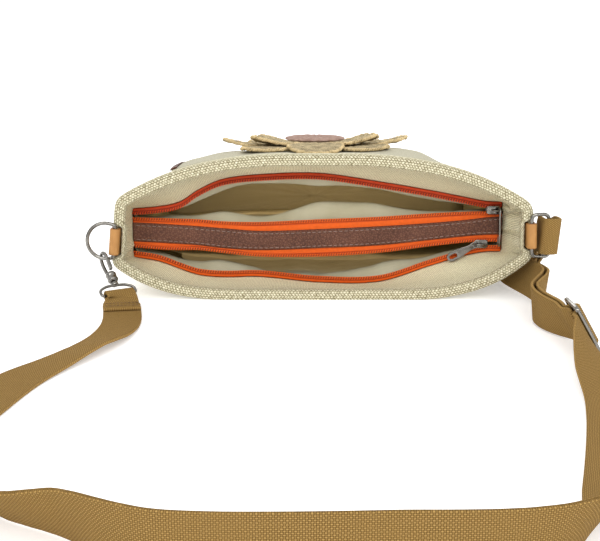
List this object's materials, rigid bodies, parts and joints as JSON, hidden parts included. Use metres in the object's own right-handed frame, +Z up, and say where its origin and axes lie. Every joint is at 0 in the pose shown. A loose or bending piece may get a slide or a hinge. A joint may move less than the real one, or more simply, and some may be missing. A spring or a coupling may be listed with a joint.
{
  "type": "shoulder bag",
  "caption": "Jute shoulder bag lying on its back panel, zips open, with lined compartments, a burlap flower on the front and an adjustable webbing strap on rings.",
  "frame": {"origin": "middle of the back panel's flat, on the surface the bag lies on", "axes": "+X along the mouth to the wearer's square-ring end, +Y from the mouth towards the base, +Z up from the back panel to the front panel with the flower"},
  "size_m": [0.3646, 0.673, 0.1157],
  "materials": {
    "jute": "coarse natural jute weave, matt",
    "facing_weave": "finer natural jute and cotton weave, matt",
    "patch_cotton": "plain natural canvas, matt",
    "lining_cotton": "soft cream cotton, matt",
    "zip_orange": "bright orange zip tape and coil, slight sheen",
    "brown_leather": "pebbled brown leather, semi-matt",
    "tan_leather": "smooth natural tan leather, semi-matt",
    "webbing": "ochre cotton webbing, matt",
    "nickel": "worn nickel plate",
    "burlap": "open burlap with corded edges, matt",
    "mauve_cloth": "dusty mauve cloth, matt"
  },
  "bodies": {
    "bag": {"shell": "jute", "facing": "facing_weave", "centre_strip": "brown_leather", "zip_tape_front_outer": "zip_orange", "zip_tape_front_inner": "zip_orange", "zip_tape_back_inner": "zip_orange", "zip_tape_back_outer": "zip_orange", "lining_front": "lining_cotton", "lining_back": "lining_cotton", "front_patch": "patch_cotton", "patch_binding": "brown_leather", "petal_lower_1": "burlap", "petal_lower_2": "burlap", "petal_lower_3": "burlap", "petal_lower_4": "burlap", "petal_lower_5": "burlap", "petal_lower_6": "burlap", "petal_lower_7": "burlap", "petal_lower_8": "burlap", "petal_upper_1": "burlap", "petal_upper_2": "burlap", "petal_upper_3": "burlap", "petal_upper_4": "burlap", "petal_upper_5": "burlap", "petal_upper_6": "burlap", "flower_centre": "mauve_cloth", "tab_left": "tan_leather", "ring_left": "nickel", "tab_right": "tan_leather", "ring_right": "nickel", "snap_hook": "nickel", "swivel_eye": "nickel", "strap": "webbing", "strap_slider": "nickel", "zip_slider_front": "nickel", "zip_slider_back": "nickel"},
    "front_pull": {"zip_pull_front": "nickel"},
    "back_pull": {"zip_pull_back": "nickel"},
    "gate": {"snap_gate": "nickel"}
  },
  "joints": [
    {"name": "front_pull_swing", "type": "hinge", "parent": "bag", "child": "front_pull", "pos_m": [0.1346, -0.0952, 0.06205], "axis": [-1, 0, 0], "range_deg": [0, 100]},
    {"name": "back_pull_swing", "type": "hinge", "parent": "bag", "child": "back_pull", "pos_m": [0.118, -0.0932, 0.0364], "axis": [0, 1, 0], "range_deg": [0, 110]},
    {"name": "snap_gate_open", "type": "hinge", "parent": "bag", "child": "gate", "pos_m": [-0.14916, -0.13355, 0.02569], "axis": [-0.8128, -0.5825, 0], "range_deg": [0, 25], "stiffness_Nm_per_rad": 0.004}
  ]
}
